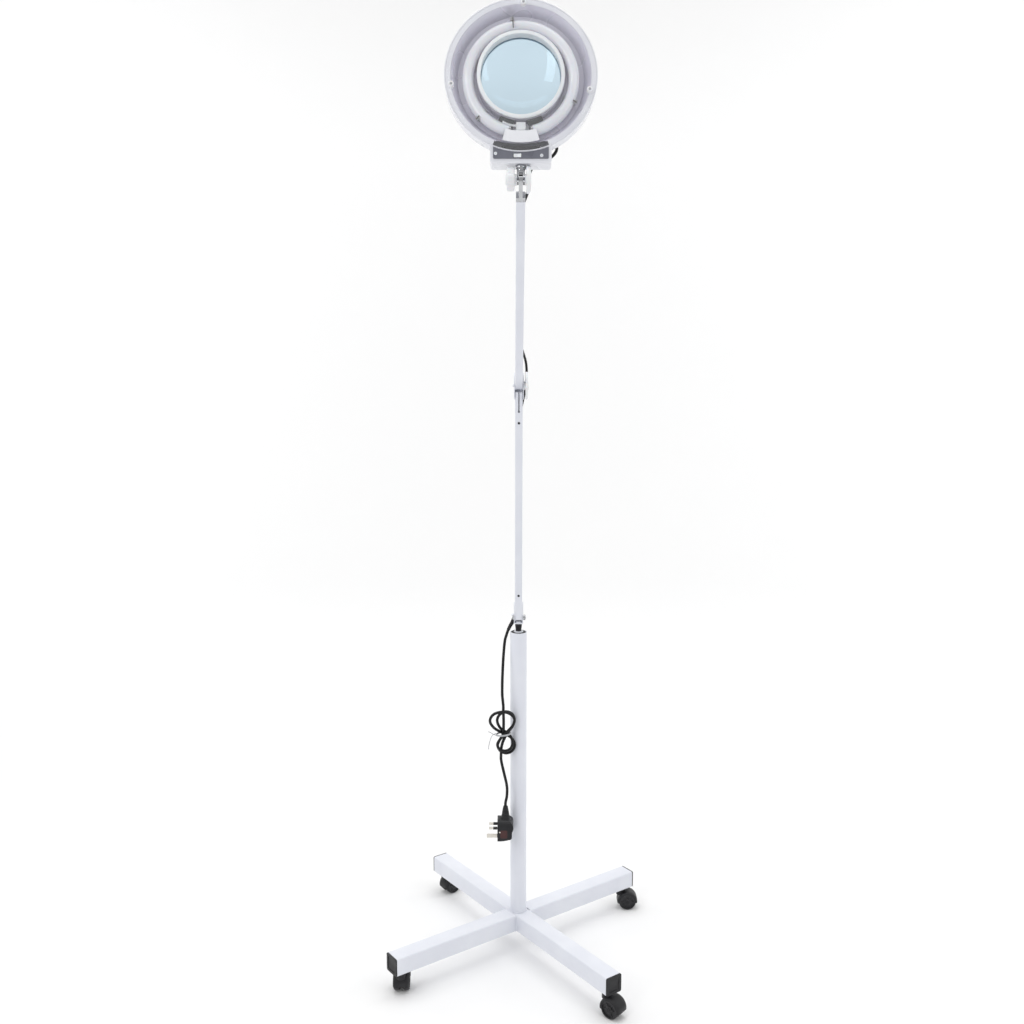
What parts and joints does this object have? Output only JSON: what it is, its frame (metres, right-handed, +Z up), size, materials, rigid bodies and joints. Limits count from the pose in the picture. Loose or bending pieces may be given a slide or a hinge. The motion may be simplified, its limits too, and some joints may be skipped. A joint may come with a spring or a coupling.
{
  "type": "magnifying lamp",
  "caption": "Floor-standing magnifying lamp: round lit lens head on a folding two-part arm, swivelling on a pole with a cross base on twin-wheel casters, mains cord tied up beside the pole.",
  "frame": {"origin": "on the floor, under the middle of the lamp's plan outline without its mains cord; the pole stands 115 mm behind it", "axes": "+Z up along the pole, -Y the way the lens faces and the arm reaches, +X to the right of the lamp as seen from its front"},
  "size_m": [0.5514, 0.7905, 1.8539],
  "materials": {
    "white_enamel": "satin powder coat",
    "white_plastic": "semi-gloss moulded",
    "shell_plastic": "semi-gloss moulded",
    "black_plastic": "fine moulded texture",
    "caster_wheel": "hard nylon",
    "black_cord": "smooth jacket",
    "zinc_steel": "zinc plated",
    "chrome": "polished",
    "plug_pin": "nickel plated",
    "grey_plate": "satin",
    "reflector": "satin",
    "lamp_glass": "white coated tube",
    "lens_glass": "polished",
    "clear_acrylic": "clear"
  },
  "bodies": {
    "base": {"base_tube_long": "white_enamel", "base_tube_back_right": "white_enamel", "base_tube_front_left": "white_enamel", "end_cap_back_right": "black_plastic", "end_cap_back_left": "black_plastic", "end_cap_front_left": "black_plastic", "end_cap_front_right": "black_plastic", "centre_bolt": "zinc_steel", "pole": "white_enamel", "pole_bush": "black_plastic"},
    "yoke": {"yoke": "white_enamel", "swivel_pin": "white_enamel", "tapered_sleeve": "black_plastic", "lower_pivot_bolt": "zinc_steel", "cord_gland": "black_plastic", "cord_upper": "black_cord", "cord_hank": "black_cord", "cord_lower": "black_cord", "plug_body": "black_plastic", "earth_pin": "plug_pin", "line_pin": "plug_pin", "neutral_pin": "plug_pin"},
    "lower_arm": {"lower_arm_tube": "white_enamel", "lower_spring": "zinc_steel", "elbow_bracket": "white_enamel", "elbow_lead": "black_cord"},
    "elbow_knob": {"elbow_knob": "white_plastic"},
    "upper_arm": {"upper_arm_tube": "white_enamel", "upper_spring": "zinc_steel", "arm_tongue": "chrome", "head_lead_lower": "black_cord"},
    "fork": {"tilt_fork": "chrome", "joint_cap": "white_plastic"},
    "hand_knob": {"hand_knob": "white_plastic"},
    "head": {"rear_shell": "shell_plastic", "reflector": "reflector", "ring_lamp": "lamp_glass", "clip_top": "zinc_steel", "clip_left": "zinc_steel", "clip_right": "zinc_steel", "lamp_connector": "white_plastic", "clear_cover": "clear_acrylic", "lens": "lens_glass", "lens_ring": "white_plastic", "neck_plate": "grey_plate", "ballast": "black_plastic", "head_lead_upper": "black_cord"},
    "rocker": {"rocker_switch": "white_plastic"},
    "caster_back_right": {"caster_hood_back_right": "black_plastic"},
    "wheel_a_back_right": {"wheel_a_back_right": "caster_wheel"},
    "wheel_b_back_right": {"wheel_b_back_right": "caster_wheel"},
    "caster_back_left": {"caster_hood_back_left": "black_plastic"},
    "wheel_a_back_left": {"wheel_a_back_left": "caster_wheel"},
    "wheel_b_back_left": {"wheel_b_back_left": "caster_wheel"},
    "caster_front_left": {"caster_hood_front_left": "black_plastic"},
    "wheel_a_front_left": {"wheel_a_front_left": "caster_wheel"},
    "wheel_b_front_left": {"wheel_b_front_left": "caster_wheel"},
    "caster_front_right": {"caster_hood_front_right": "black_plastic"},
    "wheel_a_front_right": {"wheel_a_front_right": "caster_wheel"},
    "wheel_b_front_right": {"wheel_b_front_right": "caster_wheel"}
  },
  "joints": [
    {"name": "yoke_swivel", "type": "hinge", "parent": "base", "child": "yoke", "pos_m": [0, 0.115, 0.719], "axis": [0, 0, 1], "continuous": true},
    {"name": "lower_arm_tilt", "type": "hinge", "parent": "yoke", "child": "lower_arm", "pos_m": [0, 0.115, 0.75], "axis": [1, 0, 0], "range_deg": [-22, 45]},
    {"name": "elbow", "type": "hinge", "parent": "lower_arm", "child": "upper_arm", "pos_m": [0, 0.04993, 1.23768], "axis": [1, 0, 0], "range_deg": [-43, 62], "deforming": ["elbow_lead"]},
    {"name": "elbow_knob_turn", "type": "hinge", "parent": "lower_arm", "child": "elbow_knob", "pos_m": [0, 0.04993, 1.23768], "axis": [1, 0, 0], "range_deg": [-180, 180]},
    {"name": "head_tilt", "type": "hinge", "parent": "upper_arm", "child": "fork", "pos_m": [0, -0.37462, 1.57781], "axis": [1, 0, 0], "range_deg": [-38, 100], "deforming": ["head_lead_lower"]},
    {"name": "hand_knob_turn", "type": "hinge", "parent": "fork", "child": "hand_knob", "pos_m": [0, -0.37462, 1.57781], "axis": [1, 0, 0], "range_deg": [-180, 180]},
    {"name": "head_swivel", "type": "hinge", "parent": "fork", "child": "head", "pos_m": [0, -0.37103, 1.59952], "axis": [0, 0.1633, 0.9866], "range_deg": [-90, 90], "deforming": ["head_lead_upper"]},
    {"name": "rocker_press", "type": "hinge", "parent": "head", "child": "rocker", "pos_m": [-0.0053, -0.38351, 1.61293], "axis": [0, 0.1633, 0.9866], "range_deg": [0, 16]},
    {"name": "caster_swivel_back_right", "type": "hinge", "parent": "base", "child": "caster_back_right", "pos_m": [0.24139, 0.28974, 0.052], "axis": [0, 0, 1], "continuous": true},
    {"name": "wheel_a_spin_back_right", "type": "hinge", "parent": "caster_back_right", "child": "wheel_a_back_right", "pos_m": [0.25739, 0.28974, 0.01975], "axis": [0, 1, 0], "continuous": true},
    {"name": "wheel_b_spin_back_right", "type": "hinge", "parent": "caster_back_right", "child": "wheel_b_back_right", "pos_m": [0.25739, 0.28974, 0.01975], "axis": [0, 1, 0], "continuous": true},
    {"name": "caster_swivel_back_left", "type": "hinge", "parent": "base", "child": "caster_back_left", "pos_m": [-0.17474, 0.35639, 0.052], "axis": [0, 0, 1], "continuous": true},
    {"name": "wheel_a_spin_back_left", "type": "hinge", "parent": "caster_back_left", "child": "wheel_a_back_left", "pos_m": [-0.16266, 0.36689, 0.01975], "axis": [-0.6561, 0.7547, 0], "continuous": true},
    {"name": "wheel_b_spin_back_left", "type": "hinge", "parent": "caster_back_left", "child": "wheel_b_back_left", "pos_m": [-0.16266, 0.36689, 0.01975], "axis": [-0.6561, 0.7547, 0], "continuous": true},
    {"name": "caster_swivel_front_left", "type": "hinge", "parent": "base", "child": "caster_front_left", "pos_m": [-0.24139, -0.05974, 0.052], "axis": [0, 0, 1], "continuous": true},
    {"name": "wheel_a_spin_front_left", "type": "hinge", "parent": "caster_front_left", "child": "wheel_a_front_left", "pos_m": [-0.24139, -0.04374, 0.01975], "axis": [-1, 0, 0], "continuous": true},
    {"name": "wheel_b_spin_front_left", "type": "hinge", "parent": "caster_front_left", "child": "wheel_b_front_left", "pos_m": [-0.24139, -0.04374, 0.01975], "axis": [-1, 0, 0], "continuous": true},
    {"name": "caster_swivel_front_right", "type": "hinge", "parent": "base", "child": "caster_front_right", "pos_m": [0.17474, -0.12639, 0.052], "axis": [0, 0, 1], "continuous": true},
    {"name": "wheel_a_spin_front_right", "type": "hinge", "parent": "caster_front_right", "child": "wheel_a_front_right", "pos_m": [0.187, -0.13668, 0.01975], "axis": [0.6428, 0.766, 0], "continuous": true},
    {"name": "wheel_b_spin_front_right", "type": "hinge", "parent": "caster_front_right", "child": "wheel_b_front_right", "pos_m": [0.187, -0.13668, 0.01975], "axis": [0.6428, 0.766, 0], "continuous": true}
  ]
}
